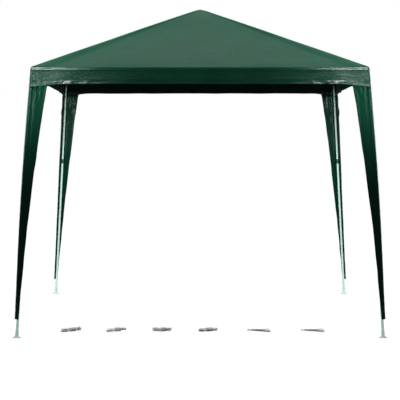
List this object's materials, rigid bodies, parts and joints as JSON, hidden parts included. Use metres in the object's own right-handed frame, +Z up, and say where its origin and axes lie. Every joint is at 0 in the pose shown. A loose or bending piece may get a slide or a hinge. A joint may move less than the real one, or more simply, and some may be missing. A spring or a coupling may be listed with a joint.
{
  "type": "party gazebo",
  "caption": "Square party gazebo with a pyramid canopy and valance, splayed telescopic tube legs with tapering covers, coiled guy ropes and ground pegs.",
  "frame": {"origin": "on the ground at the middle of the square that the feet make", "axes": "+Z up, +X along the front eave to the right, -Y towards the front"},
  "size_m": [2.742, 2.742, 2.52],
  "materials": {
    "fabric": "satin",
    "powder_coat": "satin",
    "plastic": "matte",
    "button": "matte",
    "rope": "matte",
    "galvanised": "satin"
  },
  "bodies": {
    "frame": {"crown_hub": "powder_coat", "crown_cap": "plastic", "corner_connector_rear_right": "powder_coat", "corner_connector_rear_left": "powder_coat", "corner_connector_front_left": "powder_coat", "corner_connector_front_right": "powder_coat", "eave_rail_rear_right": "powder_coat", "eave_rail_rear_left": "powder_coat", "eave_rail_left_rear": "powder_coat", "eave_rail_left_front": "powder_coat", "eave_rail_front_left": "powder_coat", "eave_rail_front_right": "powder_coat", "eave_rail_right_front": "powder_coat", "eave_rail_right_rear": "powder_coat", "lower_rafter_rear_right": "powder_coat", "lower_rafter_rear_left": "powder_coat", "lower_rafter_front_left": "powder_coat", "lower_rafter_front_right": "powder_coat", "upper_rafter_rear_right": "powder_coat", "upper_rafter_rear_left": "powder_coat", "upper_rafter_front_left": "powder_coat", "upper_rafter_front_right": "powder_coat", "upper_leg_rear_right": "powder_coat", "upper_leg_rear_left": "powder_coat", "upper_leg_front_left": "powder_coat", "upper_leg_front_right": "powder_coat", "canopy": "fabric", "leg_cover_rear_right": "fabric", "leg_cover_rear_left": "fabric", "leg_cover_front_left": "fabric", "leg_cover_front_right": "fabric", "rope_hank_1": "rope", "rope_hank_2": "rope", "rope_hank_3": "rope", "rope_hank_4": "rope", "ground_peg_1": "galvanised", "ground_peg_2": "galvanised", "ground_peg_3": "galvanised", "ground_peg_4": "galvanised", "ground_peg_5": "galvanised", "ground_peg_6": "galvanised", "ground_peg_7": "galvanised", "ground_peg_8": "galvanised"},
    "leg_rear_right": {"lower_leg_rear_right": "powder_coat", "leg_lock_rear_right": "plastic", "foot_rear_right": "powder_coat"},
    "button_rear_right": {"lock_button_rear_right": "button"},
    "leg_rear_left": {"lower_leg_rear_left": "powder_coat", "leg_lock_rear_left": "plastic", "foot_rear_left": "powder_coat"},
    "button_rear_left": {"lock_button_rear_left": "button"},
    "leg_front_left": {"lower_leg_front_left": "powder_coat", "leg_lock_front_left": "plastic", "foot_front_left": "powder_coat"},
    "button_front_left": {"lock_button_front_left": "button"},
    "leg_front_right": {"lower_leg_front_right": "powder_coat", "leg_lock_front_right": "plastic", "foot_front_right": "powder_coat"},
    "button_front_right": {"lock_button_front_right": "button"}
  },
  "joints": [
    {"name": "leg_rear_right_slide", "type": "slide", "parent": "frame", "child": "leg_rear_right", "axis": [-0.0547, -0.0547, 0.997], "range_m": [0, 0.6], "deforming": ["leg_cover_rear_right"]},
    {"name": "leg_rear_left_slide", "type": "slide", "parent": "frame", "child": "leg_rear_left", "axis": [0.0547, -0.0547, 0.997], "range_m": [0, 0.6], "deforming": ["leg_cover_rear_left"]},
    {"name": "leg_front_left_slide", "type": "slide", "parent": "frame", "child": "leg_front_left", "axis": [0.0547, 0.0547, 0.997], "range_m": [0, 0.6], "deforming": ["leg_cover_front_left"]},
    {"name": "leg_front_right_slide", "type": "slide", "parent": "frame", "child": "leg_front_right", "axis": [-0.0547, 0.0547, 0.997], "range_m": [0, 0.6], "deforming": ["leg_cover_front_right"]},
    {"name": "button_rear_right_press", "type": "slide", "parent": "leg_rear_right", "child": "button_rear_right", "axis": [0.705, 0.705, 0.0773], "range_m": [0, 0.002], "stiffness_N_per_m": 600},
    {"name": "button_rear_left_press", "type": "slide", "parent": "leg_rear_left", "child": "button_rear_left", "axis": [-0.705, 0.705, 0.0773], "range_m": [0, 0.002], "stiffness_N_per_m": 600},
    {"name": "button_front_left_press", "type": "slide", "parent": "leg_front_left", "child": "button_front_left", "axis": [-0.705, -0.705, 0.0773], "range_m": [0, 0.002], "stiffness_N_per_m": 600},
    {"name": "button_front_right_press", "type": "slide", "parent": "leg_front_right", "child": "button_front_right", "axis": [0.705, -0.705, 0.0773], "range_m": [0, 0.002], "stiffness_N_per_m": 600}
  ]
}
